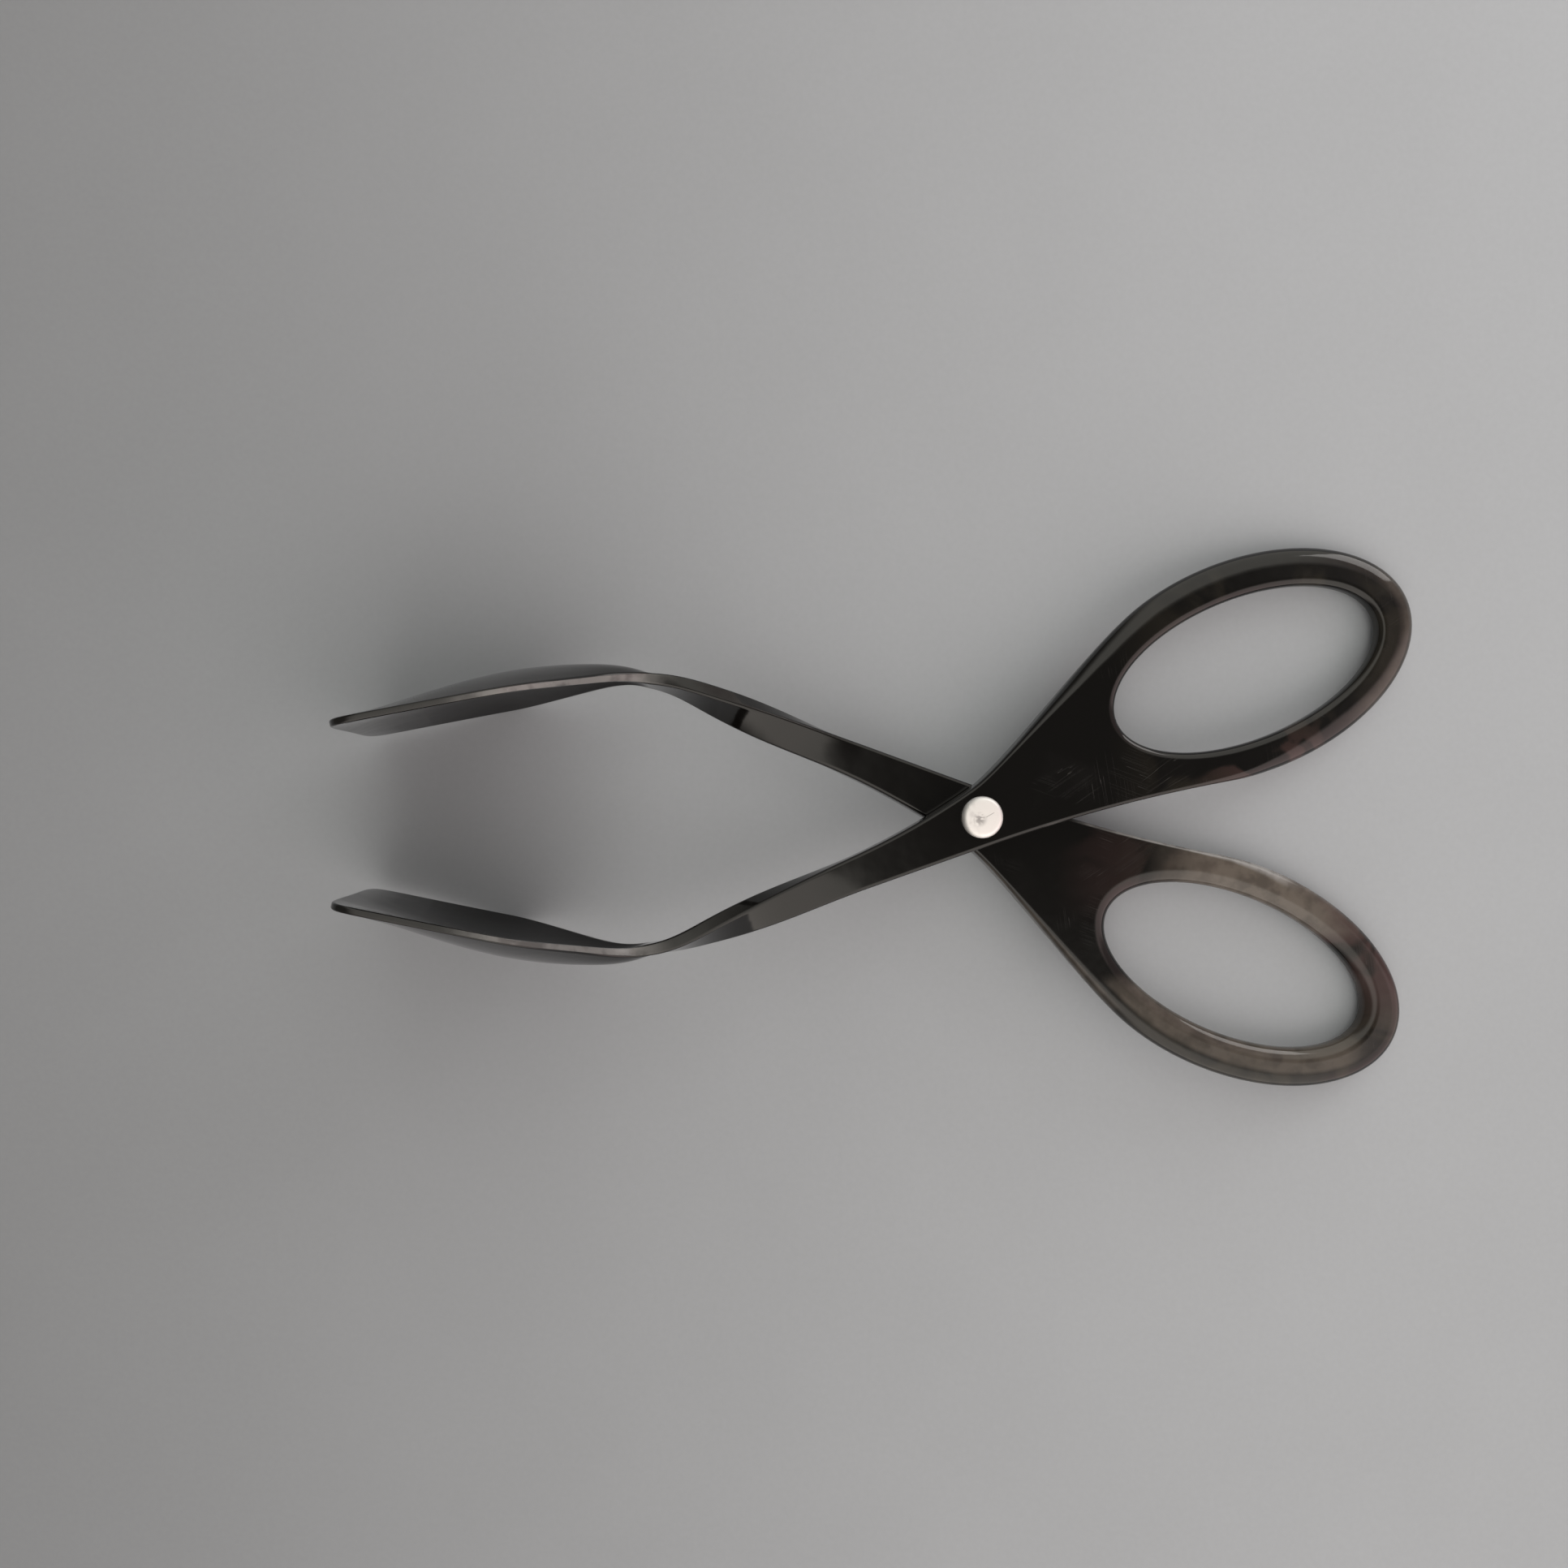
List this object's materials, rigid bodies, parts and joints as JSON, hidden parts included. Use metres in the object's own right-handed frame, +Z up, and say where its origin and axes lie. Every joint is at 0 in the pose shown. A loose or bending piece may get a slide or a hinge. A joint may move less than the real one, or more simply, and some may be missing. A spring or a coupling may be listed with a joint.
{
  "type": "serving tongs",
  "caption": "Scissor-action serving tongs: twisted moulded arms with finger loops cross on a rivet and end in upright dished paddles.",
  "frame": {"origin": "on the table, under the middle of the tongs' bounding box, as they lie half open", "axes": "+X towards the finger loops, +Y towards the upper arm's loop, +Z up from the table; the rivet's axis leans with the arms"},
  "size_m": [0.2064, 0.1068, 0.0472],
  "materials": {
    "arm_plastic": "glossy brown-black moulding with fine scratches",
    "rivet_metal": "polished, lightly scuffed"
  },
  "bodies": {
    "lower": {"lower_arm": "arm_plastic", "rivet_sleeve": "rivet_metal", "rivet_pin": "rivet_metal"},
    "upper": {"upper_arm": "arm_plastic"}
  },
  "joints": [
    {"name": "rivet_pivot", "type": "hinge", "parent": "lower", "child": "upper", "pos_m": [0.01661, 0, 0.01193], "axis": [0.1127, 0.0645, 0.9915], "range_deg": [-14.4, 95]}
  ]
}
